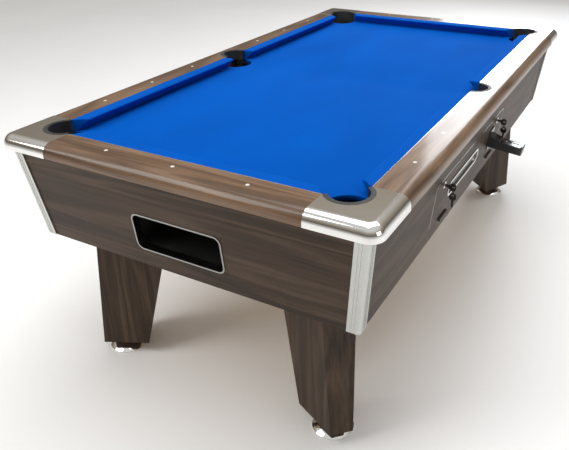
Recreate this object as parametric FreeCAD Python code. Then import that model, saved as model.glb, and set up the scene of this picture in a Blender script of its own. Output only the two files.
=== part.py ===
"""Coin-operated pool table: slate bed, wooden cabinet, ball return, service door and levelling feet.

Millimetres. X runs across the table, Y along it, Z up from the floor. The origin is the point on the
floor under the middle of the playing surface. The service door and the coin unit are on the +X side and
the ball return window is in the -Y end.
"""

import FreeCAD, Part

import math
import os

# --- playing surface and rails -------------------------------------------------------------------
PLAY_WIDTH = 965.2
PLAY_LENGTH = 2.0 * PLAY_WIDTH
RAIL_TOP = 850.0
NOSE_DEPTH = 43.0
RAIL_WIDTH = 103.0
BULLNOSE = 32.0
SIGHT_OFFSET = 83.5
SIGHT_RADIUS = 5.5
STRIP_WIDTH = 2.0
STRIP_DEPTH = 2.6
BED_DEPTH = 40.0
CLOTH_THICKNESS = 1.2
SLATE_THICKNESS = 19.0
SLATE_OVERLAP = 34.5

# --- pockets -------------------------------------------------------------------------------------
CORNER_MOUTH = 117.0
CORNER_INSET = 5.0
CORNER_HOLE = 54.0
CORNER_LINER_WALL = 13.0
CORNER_LINER_SWEEP = 200.0
SIDE_INSET = 39.4
SIDE_HOLE = 50.0
SIDE_LINER_WALL = 13.0
SIDE_TRIM_WALL = 5.0
SIDE_MOUTH = 144.0
LINER_PROUD = 1.5
LINER_DEPTH = 68.0
PIECE_GAP = 0.1
CASTING_SKIN = 3.0
CASTING_PROUD = 1.2
CASTING_CORNER = 42.0

# --- cabinet -------------------------------------------------------------------------------------
CABINET_INSET = 32.0
END_INSET = 24.0
CABINET_DEPTH = 310.8
CABINET_TAPER = 36.4
PANEL_THICKNESS = 22.0
TRIM_WIDTH = 36.0
TRIM_THICKNESS = 4.0
TRIM_CORNER = 10.0
GROOVE_WIDTH = 2.5
GROOVE_DEPTH = 1.2
BASE_THICKNESS = 18.0
BASE_RECESS = 7.0
BEARER_HEIGHT = 46.0
BEARER_WIDTH = 45.0
LEDGE_WIDTH = 26.0
LEDGE_END_GAP = 12.0
BEARER_PLACES = (-700.0, -300.0, 300.0, 700.0)
BOLT_FROM_LINE = 8.5
BOLT_RADIUS = 5.0
BOLT_HEAD_RADIUS = 8.0
BOLT_HEAD_HEIGHT = 6.4
BOLT_REACH = 26.0
LONG_RAIL_BOLTS = (-780.0, -480.0, -180.0, 180.0, 480.0, 780.0)
SHORT_RAIL_BOLTS = (-300.0, 0.0, 300.0)

# --- legs and feet -------------------------------------------------------------------------------
FOOT_INSET_X = 139.0
FOOT_INSET_Y = 132.0
FOOT_RADIUS = 66.0
FOOT_RIM = 5.0
FOOT_DOME = 24.0
LEG_BOTTOM = 45.0
LEG_OUTER_BOTTOM = (83.0, 36.0)
LEG_INNER_BOTTOM = (-70.0, 90.0)
LEG_OUTER_TOP = (47.0, 51.0)
LEG_INNER_TOP = (-183.0, 121.0)
STEM_RADIUS = 8.0
STEM_CLEARANCE = 0.3
STEM_LENGTH = 75.0
LOCKNUT_FLATS = 24.0
LEG_BOLT_RADIUS = 5.0
LEG_BOLT_LENGTH = 70.0

# --- ball return ---------------------------------------------------------------------------------
WINDOW_WIDTH = 316.0
WINDOW_HEIGHT = 127.0
WINDOW_CORNER = 24.0
WINDOW_RISE = 59.5
RIM_WIDTH = 5.0
RIM_PROUD = 2.5
GUTTER_WIDTH = 106.0
GUTTER_WALL = 4.0
GUTTER_HEIGHT = 55.0
GUTTER_FALL = 0.01
RUN_FALL = 0.025
LEFT_RUN_DROP = 107.8
RACK_RISE = 87.0
RUN_SIDE_GAP = 1.2
STRAP_THICKNESS = 2.0
STRAP_WIDTH = 30.0
CHUTE_WIDTH = 66.0
TRAY_WIDTH = 330.0
TRAY_DEPTH = 98.0
TRAY_HEIGHT = 80.0
TRAY_WALL = 5.0
GATE_ROD = 3.0
ROD_CLEARANCE = 0.06
GATE_THICKNESS = 3.0

# --- service door --------------------------------------------------------------------------------
DOOR_START = -558.0
DOOR_END = 262.0
DOOR_RISE = 48.5
DOOR_HEIGHT = 158.0
DOOR_THICKNESS = 20.0
DOOR_GAP = 1.5
DOOR_TOP_GAP = 2.5
HINGE_RADIUS = 5.0
HINGE_PIN = 2.0
HINGE_LENGTH = 76.0
HINGE_LEAF = 24.0
HINGE_PLATE = 2.0
HINGE_PLACES = (-430.0, 134.0)
SLOT_START = -420.0
SLOT_END = -75.0
SLOT_HEIGHT = 56.0
SLOT_RISE = 133.0
BEZEL_WIDTH = 8.0
BEZEL_PROUD = 3.0
PANE_THICKNESS = 3.0
LOCK_PLACES = {"left": -486.0, "right": 154.0}
LOCK_RISE = 186.0
LOCK_FLANGE = 12.0
LOCK_BARREL = 9.0
PLUG_RADIUS = 6.0
PLUG_CLEARANCE = 0.06
CAM_LENGTH = 38.0
CAM_WIDTH = 13.0
CAM_THICKNESS = 3.0
KEY_BOW = 12.0
KEY_BOW_THICKNESS = 7.0
KEY_REACH = 32.0
KEY_HOLE = 4.2
RING_RADIUS = 11.0
RING_WIRE = 1.2
RING_SLACK = 0.9
COIN_PLACE = 110.0
COIN_RISE = 114.0
COIN_WIDTH = 54.0
COIN_HEIGHT = 30.0
COIN_LENGTH = 131.0
COIN_FLANGE_LIFT = 12.0
COIN_FLANGE_WIDTH = 66.0
COIN_FLANGE_HEIGHT = 84.0
COIN_FLANGE_THICKNESS = 4.0
SLIDE_WIDTH = 42.0
SLIDE_THICKNESS = 6.0
SLIDE_TRAVEL = 50.0
SLIDE_COVER = 44.0
COVER_RISE = 16.0
COVER_LIP = 3.0
SLIDE_GAP = 0.3
COIN_RADIUS = 12.5

# --- worked out from the sizes above -------------------------------------------------------------
RAIL_LINE_X = PLAY_WIDTH / 2 + NOSE_DEPTH
RAIL_LINE_Y = PLAY_LENGTH / 2 + NOSE_DEPTH
EDGE_X = RAIL_LINE_X + RAIL_WIDTH
EDGE_Y = RAIL_LINE_Y + RAIL_WIDTH
CLOTH_TOP = RAIL_TOP - BED_DEPTH
SLATE_TOP = CLOTH_TOP - CLOTH_THICKNESS
SLATE_BOTTOM = SLATE_TOP - SLATE_THICKNESS
SLATE_X = RAIL_LINE_X + SLATE_OVERLAP
SLATE_Y = RAIL_LINE_Y + SLATE_OVERLAP
RAIL_BOTTOM = SLATE_TOP
CORNER_X = PLAY_WIDTH / 2 + CORNER_INSET
CORNER_Y = PLAY_LENGTH / 2 + CORNER_INSET
CORNER_OUTER = CORNER_HOLE + CORNER_LINER_WALL
SIDE_X = PLAY_WIDTH / 2 + SIDE_INSET
SIDE_OUTER = SIDE_HOLE + SIDE_LINER_WALL + SIDE_TRIM_WALL
POCKET_REACH = math.sqrt(CORNER_OUTER ** 2 - (RAIL_LINE_X - CORNER_X) ** 2)
CASTING_X = CORNER_X - POCKET_REACH
CASTING_Y = CORNER_Y - POCKET_REACH
CABINET_TOP = RAIL_BOTTOM
CABINET_BOTTOM = CABINET_TOP - CABINET_DEPTH
TOP_X = EDGE_X - CABINET_INSET
TOP_Y = EDGE_Y - END_INSET
BOTTOM_X = TOP_X - CABINET_TAPER
BOTTOM_Y = TOP_Y - CABINET_TAPER
SLOPE = math.degrees(math.atan(CABINET_TAPER / CABINET_DEPTH))
BASE_BOTTOM = CABINET_BOTTOM + BASE_RECESS
BASE_TOP = BASE_BOTTOM + BASE_THICKNESS
BEARER_BOTTOM = SLATE_BOTTOM - BEARER_HEIGHT
FOOT_X = BOTTOM_X - FOOT_INSET_X
FOOT_Y = BOTTOM_Y - FOOT_INSET_Y
LEFT_RUN_HEIGHT = SLATE_BOTTOM - LEFT_RUN_DROP
RACK_HEIGHT = BASE_TOP + RACK_RISE
RACK_LOW = RACK_HEIGHT - 30.0
GUTTER_OUTER = GUTTER_WIDTH / 2 + GUTTER_WALL
PANEL_AT_RACK = BOTTOM_X + (RACK_LOW - CABINET_BOTTOM) * CABINET_TAPER / CABINET_DEPTH - PANEL_THICKNESS
GUTTER_X = PANEL_AT_RACK - RUN_SIDE_GAP - STRAP_THICKNESS - GUTTER_OUTER
QUADRANTS = {"near_left": (-1, -1), "near_right": (1, -1), "far_left": (-1, 1), "far_right": (1, 1)}
UP = FreeCAD.Vector(0, 0, 1)


def vector(x, y, z):
    return FreeCAD.Vector(x, y, z)


def box(x0, x1, y0, y1, z0, z1):
    """Box between two opposite corners."""
    return Part.makeBox(x1 - x0, y1 - y0, z1 - z0, vector(x0, y0, z0))


def upright(radius, x, y, z0, z1):
    """Vertical cylinder."""
    return Part.makeCylinder(radius, z1 - z0, vector(x, y, z0), UP)


def rod_x(radius, x0, x1, y, z):
    """Cylinder along X."""
    return Part.makeCylinder(radius, x1 - x0, vector(x0, y, z), vector(1, 0, 0))


def rod_y(radius, y0, y1, x, z):
    """Cylinder along Y."""
    return Part.makeCylinder(radius, y1 - y0, vector(x, y0, z), vector(0, 1, 0))


def polygon(points):
    """Closed wire through the points."""
    return Part.makePolygon(points + [points[0]])


def prism(points, along):
    """Solid swept from a flat outline."""
    return Part.Face(polygon(points)).extrude(along)


def ruled(lower, upper):
    """Straight-sided solid between two outlines with the same number of corners."""
    return Part.makeLoft([lower, upper], True, True)


def placed_in(quadrant, shape):
    """A shape made in the +X +Y corner, mirrored into the named corner."""
    sign_x, sign_y = QUADRANTS[quadrant]
    result = shape
    if sign_x < 0:
        result = result.mirror(vector(0, 0, 0), vector(1, 0, 0))
    if sign_y < 0:
        result = result.mirror(vector(0, 0, 0), vector(0, 1, 0))
    return result


def in_all_corners(shape):
    return [placed_in(quadrant, shape) for quadrant in QUADRANTS]


def on_both_sides(shape):
    return [shape, shape.mirror(vector(0, 0, 0), vector(1, 0, 0))]


def on_both_ends(shape):
    return [shape, shape.mirror(vector(0, 0, 0), vector(0, 1, 0))]


def on_side_panel(shape):
    """Move a shape from the door's flat layout to the sloping +X panel.

    In the layout X is the distance out from the panel's face and Z is the distance up the slope.
    """
    placed = shape.copy()
    placed.rotate(vector(0, 0, 0), vector(0, 1, 0), SLOPE)
    placed.translate(vector(BOTTOM_X, 0, CABINET_BOTTOM))
    return placed


def on_end_panel(shape):
    """Move a shape from a flat layout, with -Y outwards, to the sloping -Y panel."""
    placed = shape.copy()
    placed.rotate(vector(0, 0, 0), vector(1, 0, 0), SLOPE)
    placed.translate(vector(0, -BOTTOM_Y, CABINET_BOTTOM))
    return placed


def rounded_outline(width, height, radius):
    """Rounded rectangle about the origin in the XY plane."""
    half_w = width / 2 - radius
    half_h = height / 2 - radius
    centres = [(half_w, half_h, 0), (-half_w, half_h, 90), (-half_w, -half_h, 180), (half_w, -half_h, 270)]
    edges = []
    last = None
    for x, y, start in centres:
        arc = Part.makeCircle(radius, vector(x, y, 0), UP, start, start + 90)
        first = arc.valueAt(arc.FirstParameter)
        if last is not None and last.distanceToPoint(first) > 0.001:
            edges.append(Part.makeLine(last, first))
        edges.append(arc)
        last = arc.valueAt(arc.LastParameter)
    opening = edges[0].valueAt(edges[0].FirstParameter)
    if last.distanceToPoint(opening) > 0.001:
        edges.append(Part.makeLine(last, opening))
    return Part.Wire(edges)


def rounded_plate(width, height, radius, thickness):
    """Rounded rectangle about the origin, standing up from the XY plane."""
    return Part.Face(rounded_outline(width, height, radius)).extrude(vector(0, 0, thickness))


def facing_side(plate, along, rise, outwards):
    """Stand a plate drawn in XY on the door's layout, its width along Y."""
    plate.rotate(vector(0, 0, 0), vector(0, 0, 1), 90)
    plate.rotate(vector(0, 0, 0), vector(0, 1, 0), 90)
    plate.translate(vector(outwards, along, rise))
    return plate


def facing_end(plate, rise, outwards):
    """Stand a plate drawn in XY on the end panel's layout, its width along X."""
    plate.rotate(vector(0, 0, 0), vector(1, 0, 0), 90)
    plate.translate(vector(0, -outwards, rise))
    return plate


def save(name, *shapes):
    """Write one node; several shapes stay separate solids of that node."""
    solids = []
    for shape in shapes:
        solids.extend(shape.Solids)
    whole = solids[0] if len(solids) == 1 else Part.makeCompound(solids)
    if not solids or not whole.isValid():
        raise ValueError(name + " is not a valid solid")
    whole.exportStep("parts/" + name + ".step")


# --- pockets -------------------------------------------------------------------------------------
def arc_sleeve(x, y, inner, outer, z0, z1, sweep, middle):
    """Part of a tube round a vertical axis, its middle facing the given angle."""
    sleeve = Part.makeCylinder(outer, z1 - z0, vector(0, 0, z0), UP, sweep)
    sleeve = sleeve.cut(upright(inner, 0, 0, z0 - 1, z1 + 1))
    sleeve.rotate(vector(0, 0, 0), UP, middle - sweep / 2)
    sleeve.translate(vector(x, y, 0))
    return sleeve


def corner_cutter(z0, z1):
    """Space of a corner pocket and the open corner behind it."""
    hole = upright(CORNER_OUTER + PIECE_GAP, CORNER_X, CORNER_Y, z0, z1)
    return hole.fuse(box(CORNER_X, EDGE_X, CORNER_Y, EDGE_Y, z0, z1))


def side_cutter(z0, z1):
    return upright(SIDE_OUTER + PIECE_GAP, SIDE_X, 0, z0, z1)


def pocket_cutters(z0, z1):
    return in_all_corners(corner_cutter(z0, z1)) + on_both_sides(side_cutter(z0, z1))


def corner_liner():
    bottom = SLATE_TOP + LINER_PROUD - (LINER_DEPTH - BED_DEPTH)
    return arc_sleeve(CORNER_X, CORNER_Y, CORNER_HOLE, CORNER_OUTER, bottom,
                      RAIL_TOP + LINER_PROUD, CORNER_LINER_SWEEP, 45.0)


def side_sweep():
    """Angle of the side pocket's rim that lies behind the rail's inner line."""
    return 2 * math.degrees(math.acos((RAIL_LINE_X - SIDE_X + PIECE_GAP) / SIDE_OUTER))


def side_liner():
    """Stepped liner: the trim ring sits on its outer step."""
    step = RAIL_TOP - SIDE_TRIM_WALL + 1.0
    inner_top = SIDE_HOLE + SIDE_LINER_WALL
    lower = arc_sleeve(SIDE_X, 0, SIDE_HOLE, SIDE_OUTER, RAIL_BOTTOM + 1.0, step, side_sweep(), 0)
    upper = arc_sleeve(SIDE_X, 0, SIDE_HOLE, inner_top, step, RAIL_TOP + LINER_PROUD, side_sweep(), 0)
    return lower.fuse(upper).removeSplitter()


def side_trim():
    step = RAIL_TOP - SIDE_TRIM_WALL + 1.0
    inner_top = SIDE_HOLE + SIDE_LINER_WALL
    return arc_sleeve(SIDE_X, 0, inner_top, SIDE_OUTER, step, RAIL_TOP + LINER_PROUD - 0.5, side_sweep(), 0)


# --- bed -----------------------------------------------------------------------------------------
def rail_bolt_places():
    """Bolts up through the slate into the rails, near the rails' inner lines."""
    places = [(sign * (RAIL_LINE_X + BOLT_FROM_LINE), y) for sign in (-1, 1) for y in LONG_RAIL_BOLTS]
    places += [(x, sign * (RAIL_LINE_Y + BOLT_FROM_LINE)) for sign in (-1, 1) for x in SHORT_RAIL_BOLTS]
    return places


def slate_bed():
    slate = box(-SLATE_X, SLATE_X, -SLATE_Y, SLATE_Y, SLATE_BOTTOM, SLATE_TOP)
    holes = [upright(BOLT_RADIUS + 0.5, x, y, SLATE_BOTTOM - 1, SLATE_TOP + 1) for x, y in rail_bolt_places()]
    return slate.cut(pocket_cutters(SLATE_BOTTOM - 1, SLATE_TOP + 1) + holes)


def bed_cloth():
    edge = 0.4
    cloth = box(edge - RAIL_LINE_X, RAIL_LINE_X - edge, edge - RAIL_LINE_Y, RAIL_LINE_Y - edge,
                SLATE_TOP, CLOTH_TOP)
    return cloth.cut(pocket_cutters(SLATE_TOP - 1, CLOTH_TOP + 1))


def rail_bolts():
    bolts = []
    for x, y in rail_bolt_places():
        shank = upright(BOLT_RADIUS, x, y, SLATE_BOTTOM, SLATE_TOP + BOLT_REACH)
        head = upright(BOLT_HEAD_RADIUS, x, y, SLATE_BOTTOM - BOLT_HEAD_HEIGHT, SLATE_BOTTOM)
        bolts.append(shank.fuse(head).removeSplitter())
    return bolts


def ledge_section(inner_face, slate_edge, place):
    """Ledge against a sloping panel, with a step that the slate's edge sits in."""
    panel_top = inner_face(CABINET_TOP)
    inner = panel_top - LEDGE_WIDTH
    return [place(inner, BEARER_BOTTOM), place(inner_face(BEARER_BOTTOM), BEARER_BOTTOM),
            place(panel_top, CABINET_TOP), place(slate_edge, CABINET_TOP), place(slate_edge, SLATE_BOTTOM),
            place(inner, SLATE_BOTTOM)]


def slate_ledges():
    """Strips on the inside of the panels that carry the slate's edges, with room for the pockets."""
    start = SIDE_OUTER + LEDGE_END_GAP
    stop = CORNER_Y - CORNER_OUTER - LEDGE_END_GAP
    half = CORNER_X - CORNER_OUTER - LEDGE_END_GAP
    side = prism(ledge_section(inner_x, SLATE_X, lambda x, z: vector(x, start, z)),
                 vector(0, stop - start, 0))
    end = prism(ledge_section(inner_y, SLATE_Y, lambda y, z: vector(-half, y, z)),
                vector(2 * half, 0, 0))
    return in_all_corners(side) + on_both_ends(end)


def cross_bearers():
    reach = inner_x(CABINET_TOP) - LEDGE_WIDTH
    return [box(-reach, reach, y - BEARER_WIDTH / 2, y + BEARER_WIDTH / 2, BEARER_BOTTOM, SLATE_BOTTOM)
            for y in BEARER_PLACES]


# --- rails ---------------------------------------------------------------------------------------
def rail_section(line, edge, place):
    """Rail outline across its length: flat top, bullnose and short skirt, on the slate and the cabinet."""
    middle = BULLNOSE * (1 - math.sqrt(0.5))
    arc = Part.Arc(place(edge - BULLNOSE, RAIL_TOP), place(edge - middle, RAIL_TOP - middle),
                   place(edge, RAIL_TOP - BULLNOSE)).toShape()
    rest = [place(edge, RAIL_TOP - BULLNOSE), place(edge, RAIL_BOTTOM), place(line, RAIL_BOTTOM),
            place(line, RAIL_TOP), place(edge - BULLNOSE, RAIL_TOP)]
    return Part.Face(Part.Wire([arc] + Part.makePolygon(rest).Edges))


def rail_fittings():
    """Holes in the rails for their bolts and sights."""
    holes = [upright(BOLT_RADIUS + PIECE_GAP, x, y, SLATE_TOP - 1, SLATE_TOP + BOLT_REACH + 2)
             for x, y in rail_bolt_places()]
    return holes + sights(PIECE_GAP / 2)


def long_rail():
    def place(across, height):
        return vector(across, -CASTING_Y, height)
    rail = rail_section(RAIL_LINE_X, EDGE_X, place).extrude(vector(0, 2 * CASTING_Y, 0))
    return rail.cut([side_cutter(RAIL_BOTTOM - 1, RAIL_TOP + 1)] + rail_fittings())


def short_rail():
    def place(across, height):
        return vector(-CASTING_X, across, height)
    rail = rail_section(RAIL_LINE_Y, EDGE_Y, place).extrude(vector(2 * CASTING_X, 0, 0))
    return rail.cut(rail_fittings())


def sight_places():
    """Quarter points of the short rails and eighth points of the long rails, without the pockets."""
    step = PLAY_WIDTH / 4
    side = PLAY_WIDTH / 2 + SIGHT_OFFSET
    end = PLAY_LENGTH / 2 + SIGHT_OFFSET
    places = [(count * step, sign * end) for sign in (-1, 1) for count in (-1, 0, 1)]
    places += [(sign * side, count * step) for sign in (-1, 1) for count in (-3, -2, -1, 1, 2, 3)]
    return places


def sights(extra=0.0):
    return [upright(SIGHT_RADIUS + extra, x, y, RAIL_TOP - 1.5 - extra, RAIL_TOP + 0.3)
            for x, y in sight_places()]


# --- cushions ------------------------------------------------------------------------------------
def cushion_section(place):
    """Rubber and its backing: near-flat top, nose, undercut face."""
    floor = CLOTH_TOP + 2.0
    nose_height = CLOTH_TOP + 36.5
    step = RAIL_TOP - STRIP_DEPTH - 0.1
    top_start = STRIP_WIDTH + 0.2
    outline = [(0, floor), (0, step), (top_start, step), (top_start, RAIL_TOP - 0.4), (NOSE_DEPTH - 9, RAIL_TOP - 0.8),
               (NOSE_DEPTH, nose_height), (NOSE_DEPTH - 1.5, nose_height - 6.5), (NOSE_DEPTH - 29, floor)]
    return [place(out, height) for out, height in outline]


def mouth_step():
    """How far each cushion's nose stops short of the corner of the playing area."""
    return CORNER_MOUTH / math.sqrt(2)


def short_cushion():
    def place(out, height):
        return vector(-CASTING_X, RAIL_LINE_Y - out, height)
    body = prism(cushion_section(place), vector(2 * CASTING_X, 0, 0))
    nose = PLAY_WIDTH / 2 - mouth_step()
    line = PLAY_LENGTH / 2
    plan = [vector(-CASTING_X, RAIL_LINE_Y, CLOTH_TOP), vector(CASTING_X, RAIL_LINE_Y, CLOTH_TOP),
            vector(nose, line, CLOTH_TOP), vector(-nose, line, CLOTH_TOP)]
    return body.common(prism(plan, vector(0, 0, BED_DEPTH + 5)))


def long_cushion():
    """The +X cushion between the side pocket and the far corner pocket."""
    start = SIDE_OUTER + 0.5

    def place(out, height):
        return vector(RAIL_LINE_X - out, start, height)
    body = prism(cushion_section(place), vector(0, CASTING_Y - start, 0))
    nose = PLAY_LENGTH / 2 - mouth_step()
    line = PLAY_WIDTH / 2
    plan = [vector(RAIL_LINE_X, start, CLOTH_TOP), vector(RAIL_LINE_X, CASTING_Y, CLOTH_TOP),
            vector(line, nose, CLOTH_TOP), vector(line, SIDE_MOUTH / 2, CLOTH_TOP)]
    return body.common(prism(plan, vector(0, 0, BED_DEPTH + 5)))


def edge_strips():
    """Thin bright strips where the rails' tops meet the cloth."""
    low = RAIL_TOP - STRIP_DEPTH
    high = RAIL_TOP + 0.2
    short = box(-CASTING_X, CASTING_X, RAIL_LINE_Y - STRIP_WIDTH, RAIL_LINE_Y, low, high)
    side = box(RAIL_LINE_X - STRIP_WIDTH, RAIL_LINE_X, SIDE_OUTER + 0.5, CASTING_Y, low, high)
    return in_all_corners(side) + on_both_ends(short)


# --- corner castings -----------------------------------------------------------------------------
def corner_solid(inset):
    """Corner of the rail frame, a little proud of the rails, its outer faces moved in by the inset."""
    x1 = EDGE_X + CASTING_PROUD - inset
    y1 = EDGE_Y + CASTING_PROUD - inset
    top = RAIL_TOP + CASTING_PROUD - inset
    solid = box(CASTING_X, x1, CASTING_Y, y1, RAIL_BOTTOM, top)
    upright_edge = [e for e in solid.Edges if is_vertical_at(e, x1, y1)]
    solid = solid.makeFillet(CASTING_CORNER - inset, upright_edge)
    rounded = [e for e in solid.Edges if is_outer_top(e, x1, y1, top)]
    solid = solid.makeFillet(BULLNOSE - inset, rounded)
    hole = upright(CORNER_OUTER + PIECE_GAP + inset, CORNER_X, CORNER_Y, RAIL_BOTTOM - 1, top + 1)
    inside = box(0, RAIL_LINE_X + inset, 0, RAIL_LINE_Y + inset, RAIL_BOTTOM - 1, top + 1)
    return solid.cut([hole, inside])


def is_vertical_at(edge, x, y):
    points = [v.Point for v in edge.Vertexes]
    return all(abs(p.x - x) < 0.01 and abs(p.y - y) < 0.01 for p in points)


def is_outer_top(edge, x1, y1, top):
    """Top edges along the outer faces and round the corner between them."""
    middle = edge.valueAt((edge.FirstParameter + edge.LastParameter) / 2)
    if abs(middle.z - top) > 0.01:
        return False
    corner = middle.x > x1 - CASTING_CORNER and middle.y > y1 - CASTING_CORNER
    return corner or abs(middle.x - x1) < 0.01 or abs(middle.y - y1) < 0.01


# --- cabinet -------------------------------------------------------------------------------------
def taper_at(height):
    """How far a panel's face stands out from its bottom edge at a height."""
    return (height - CABINET_BOTTOM) * CABINET_TAPER / CABINET_DEPTH


def inner_x(height):
    return BOTTOM_X + taper_at(height) - PANEL_THICKNESS


def inner_y(height):
    return BOTTOM_Y + taper_at(height) - PANEL_THICKNESS


def side_panel():
    def outline(x, y, z):
        inner = PANEL_THICKNESS
        return polygon([vector(x, -y, z), vector(x, y, z), vector(x - inner, y - inner, z),
                        vector(x - inner, inner - y, z)])
    return ruled(outline(BOTTOM_X, BOTTOM_Y, CABINET_BOTTOM), outline(TOP_X, TOP_Y, CABINET_TOP))


def end_panel():
    def outline(x, y, z):
        inner = PANEL_THICKNESS
        return polygon([vector(-x, y, z), vector(x, y, z), vector(x - inner, y - inner, z),
                        vector(inner - x, y - inner, z)])
    return ruled(outline(BOTTOM_X, BOTTOM_Y, CABINET_BOTTOM), outline(TOP_X, TOP_Y, CABINET_TOP))


def window_cutter():
    hole = rounded_plate(WINDOW_WIDTH - RIM_WIDTH, WINDOW_HEIGHT - RIM_WIDTH, WINDOW_CORNER - RIM_WIDTH / 2,
                         3 * PANEL_THICKNESS)
    return on_end_panel(facing_end(hole, WINDOW_RISE + WINDOW_HEIGHT / 2, -2 * PANEL_THICKNESS))


def window_rim():
    """Bright rim with a sleeve that lines the opening."""
    rise = WINDOW_RISE + WINDOW_HEIGHT / 2
    flange = rounded_plate(WINDOW_WIDTH, WINDOW_HEIGHT, WINDOW_CORNER, RIM_PROUD)
    sleeve = rounded_plate(WINDOW_WIDTH - RIM_WIDTH, WINDOW_HEIGHT - RIM_WIDTH,
                           WINDOW_CORNER - RIM_WIDTH / 2, PANEL_THICKNESS + RIM_PROUD)
    bore = rounded_plate(WINDOW_WIDTH - 2 * RIM_WIDTH, WINDOW_HEIGHT - 2 * RIM_WIDTH,
                         WINDOW_CORNER - RIM_WIDTH, 3 * PANEL_THICKNESS)
    rim = facing_end(flange, rise, 0).fuse(facing_end(sleeve, rise, -PANEL_THICKNESS))
    rim = rim.cut(facing_end(bore, rise, -2 * PANEL_THICKNESS)).removeSplitter()
    return on_end_panel(rim)


def door_opening():
    opening = box(-2 * PANEL_THICKNESS, PANEL_THICKNESS, DOOR_START - DOOR_GAP, DOOR_END + DOOR_GAP,
                  DOOR_RISE - DOOR_GAP, DOOR_RISE + DOOR_HEIGHT + DOOR_TOP_GAP)
    return on_side_panel(opening)


def trim_outline(x, y, z):
    """Corner angle with two shallow grooves in each face."""
    t = TRIM_THICKNESS
    w = TRIM_WIDTH
    g = GROOVE_WIDTH
    d = GROOVE_DEPTH
    r = TRIM_CORNER
    cut = r * (1 - math.sqrt(0.5))
    face_y = y + t
    face_x = x + t
    run = [vector(x - w, y, z), vector(x - w, face_y, z)]
    for offset in (24.0, 15.0):
        run += [vector(x - offset, face_y, z), vector(x - offset, face_y - d, z),
                vector(x - offset + g, face_y - d, z), vector(x - offset + g, face_y, z)]
    run.append(vector(face_x - r, face_y, z))
    arc = Part.Arc(run[-1], vector(face_x - cut, face_y - cut, z), vector(face_x, face_y - r, z)).toShape()
    back = [vector(face_x, face_y - r, z)]
    for offset in (15.0 - g, 24.0 - g):
        back += [vector(face_x, y - offset, z), vector(face_x - d, y - offset, z),
                 vector(face_x - d, y - offset - g, z), vector(face_x, y - offset - g, z)]
    back += [vector(face_x, y - w, z), vector(x, y - w, z), vector(x, y, z), run[0]]
    return Part.Wire(Part.makePolygon(run).Edges + [arc] + Part.makePolygon(back).Edges)


def corner_trim():
    low = CABINET_BOTTOM + 1.0
    high = CABINET_TOP - 0.5
    return ruled(trim_outline(BOTTOM_X + taper_at(low), BOTTOM_Y + taper_at(low), low),
                 trim_outline(BOTTOM_X + taper_at(high), BOTTOM_Y + taper_at(high), high))


def leg_bolt_places():
    """Two bolts per leg on the diagonal through the foot."""
    return [(FOOT_X + out * math.sqrt(0.5), FOOT_Y + out * math.sqrt(0.5)) for out in (-120.0, -20.0)]


def base_board():
    x = inner_x(BASE_BOTTOM)
    y = inner_y(BASE_BOTTOM)
    board = box(-x, x, -y, y, BASE_BOTTOM, BASE_TOP)
    holes = []
    for bx, by in leg_bolt_places():
        holes += in_all_corners(upright(LEG_BOLT_RADIUS + 0.5, bx, by, BASE_BOTTOM - 1, BASE_TOP + 1))
    return board.cut(holes)


# --- legs and feet -------------------------------------------------------------------------------
def leg_outline(outer, inner, z):
    """Wedge with its narrow face towards the table's corner."""
    points = []
    corners = ((outer[0], outer[1]), (outer[0], -outer[1]), (inner[0], -inner[1]), (inner[0], inner[1]))
    for out, across in corners:
        points.append(vector(FOOT_X + (out + across) * math.sqrt(0.5),
                             FOOT_Y + (out - across) * math.sqrt(0.5), z))
    return polygon(points)


def leg():
    body = ruled(leg_outline(LEG_OUTER_BOTTOM, LEG_INNER_BOTTOM, LEG_BOTTOM),
                 leg_outline(LEG_OUTER_TOP, LEG_INNER_TOP, BASE_BOTTOM))
    bore = upright(STEM_RADIUS + STEM_CLEARANCE, FOOT_X, FOOT_Y, LEG_BOTTOM - 1, LEG_BOTTOM + STEM_LENGTH)
    bolt_bottom = BASE_TOP - LEG_BOLT_LENGTH
    holes = [upright(LEG_BOLT_RADIUS + PIECE_GAP, x, y, bolt_bottom - 1, BASE_BOTTOM + 1)
             for x, y in leg_bolt_places()]
    return body.cut([bore] + holes)


def leg_bolts():
    bolts = []
    for x, y in leg_bolt_places():
        shank = upright(LEG_BOLT_RADIUS, x, y, BASE_TOP - LEG_BOLT_LENGTH, BASE_TOP)
        washer = upright(2.4 * LEG_BOLT_RADIUS, x, y, BASE_TOP, BASE_TOP + 2)
        head = upright(1.7 * LEG_BOLT_RADIUS, x, y, BASE_TOP + 2, BASE_TOP + 9)
        bolts += in_all_corners(shank.fuse([washer, head]).removeSplitter())
    return bolts


def hexagon(flats, x, y, z0, z1):
    radius = flats / math.sqrt(3)
    turns = [math.radians(60 * k) for k in range(6)]
    points = [vector(x + radius * math.cos(turn), y + radius * math.sin(turn), z0) for turn in turns]
    return prism(points, vector(0, 0, z1 - z0))


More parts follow.
